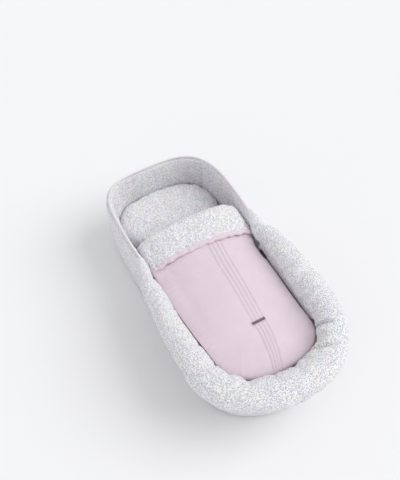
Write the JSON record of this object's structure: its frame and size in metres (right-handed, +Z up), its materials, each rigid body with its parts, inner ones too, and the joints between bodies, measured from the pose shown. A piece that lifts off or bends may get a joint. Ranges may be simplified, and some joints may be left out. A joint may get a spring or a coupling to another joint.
{
  "type": "pram footmuff",
  "caption": "Padded footmuff liner for a pram's carrycot, with a stuffed rim roll, a quilted cover that unzips down both sides, a turned-down cuff and a pillow.",
  "frame": {"origin": "middle of the flat underside of the base pad, under the middle of the overall length and width", "axes": "+Z up, +Y towards the head end, +X towards the right-hand side seen from the foot end"},
  "size_m": [0.4634, 0.8747, 0.212],
  "materials": {
    "floral_cotton": "matt cotton with a small floral print",
    "pink_cotton": "matt plain pale pink cotton",
    "wadding": "polyester wadding",
    "piping": "covered cord",
    "elastic": "woven elastic",
    "zip_tape": "woven tape",
    "zip_teeth": "moulded",
    "zip_metal": "dark satin",
    "tag_leather": "bare dark tag"
  },
  "bodies": {
    "liner": {"base_pad": "floral_cotton", "wall_head": "floral_cotton", "wall_right": "floral_cotton", "wall_left": "floral_cotton", "wall_foot": "floral_cotton", "rim_piping": "piping", "roll_case": "floral_cotton", "roll_filling": "wadding", "roll_end_right": "floral_cotton", "roll_end_left": "floral_cotton", "skirt": "pink_cotton", "skirt_elastic": "elastic", "foot_gusset": "floral_cotton", "foot_panel_shell": "pink_cotton", "foot_panel_wadding": "wadding", "foot_panel_lining": "floral_cotton", "zip_facing_right": "floral_cotton", "zip_facing_left": "floral_cotton", "zip_tape_liner_right": "zip_tape", "zip_tape_liner_left": "zip_tape", "zip_chain_liner_right": "zip_teeth", "zip_chain_liner_left": "zip_teeth", "top_stop_liner_right": "zip_metal", "top_stop_liner_left": "zip_metal", "bottom_stop_right": "zip_metal", "bottom_stop_left": "zip_metal"},
    "cover": {"cover_shell": "pink_cotton", "cover_wadding": "wadding", "cover_lining": "floral_cotton", "cover_tag": "tag_leather", "zip_tape_cover_right": "zip_tape", "zip_tape_cover_left": "zip_tape", "zip_chain_cover_right": "zip_teeth", "zip_chain_cover_left": "zip_teeth", "top_stop_cover_right": "zip_metal", "top_stop_cover_left": "zip_metal"},
    "cuff": {"cuff_panel": "floral_cotton", "cuff_facing": "pink_cotton", "cuff_border": "pink_cotton"},
    "slider_right": {"slider_right": "zip_metal"},
    "slider_left": {"slider_left": "zip_metal"},
    "pull_right": {"pull_right": "zip_metal"},
    "pull_left": {"pull_left": "zip_metal"},
    "pillow": {"pillow_case": "floral_cotton", "pillow_filling": "wadding"}
  },
  "joints": [
    {"name": "cover_fold", "type": "hinge", "parent": "liner", "child": "cover", "pos_m": [0, -0.2315, 0.1679], "axis": [1, 0, 0], "range_deg": [0, 150]},
    {"name": "cuff_turn", "type": "hinge", "parent": "cover", "child": "cuff", "pos_m": [0, 0.201, 0.1685], "axis": [-1, 0, 0], "range_deg": [0, 165]},
    {"name": "zip_slider_right", "type": "slide", "parent": "liner", "child": "slider_right", "axis": [0, -1, 0], "range_m": [0, 0.239], "deforming": ["zip_chain_liner_right", "zip_chain_cover_right", "zip_tape_liner_right", "zip_tape_cover_right"]},
    {"name": "zip_slider_left", "type": "slide", "parent": "liner", "child": "slider_left", "axis": [0, -1, 0], "range_m": [0, 0.239], "deforming": ["zip_chain_liner_left", "zip_chain_cover_left", "zip_tape_liner_left", "zip_tape_cover_left"]},
    {"name": "zip_pull_right", "type": "hinge", "parent": "slider_right", "child": "pull_right", "pos_m": [0.147, 0.0195, 0.149], "axis": [-1, 0, 0], "range_deg": [0, 165]},
    {"name": "zip_pull_left", "type": "hinge", "parent": "slider_left", "child": "pull_left", "pos_m": [-0.147, 0.0195, 0.149], "axis": [-1, 0, 0], "range_deg": [0, 165]},
    {"name": "pillow_lift", "type": "slide", "parent": "liner", "child": "pillow", "axis": [0, 0, 1], "range_m": [0, 0.3]}
  ]
}
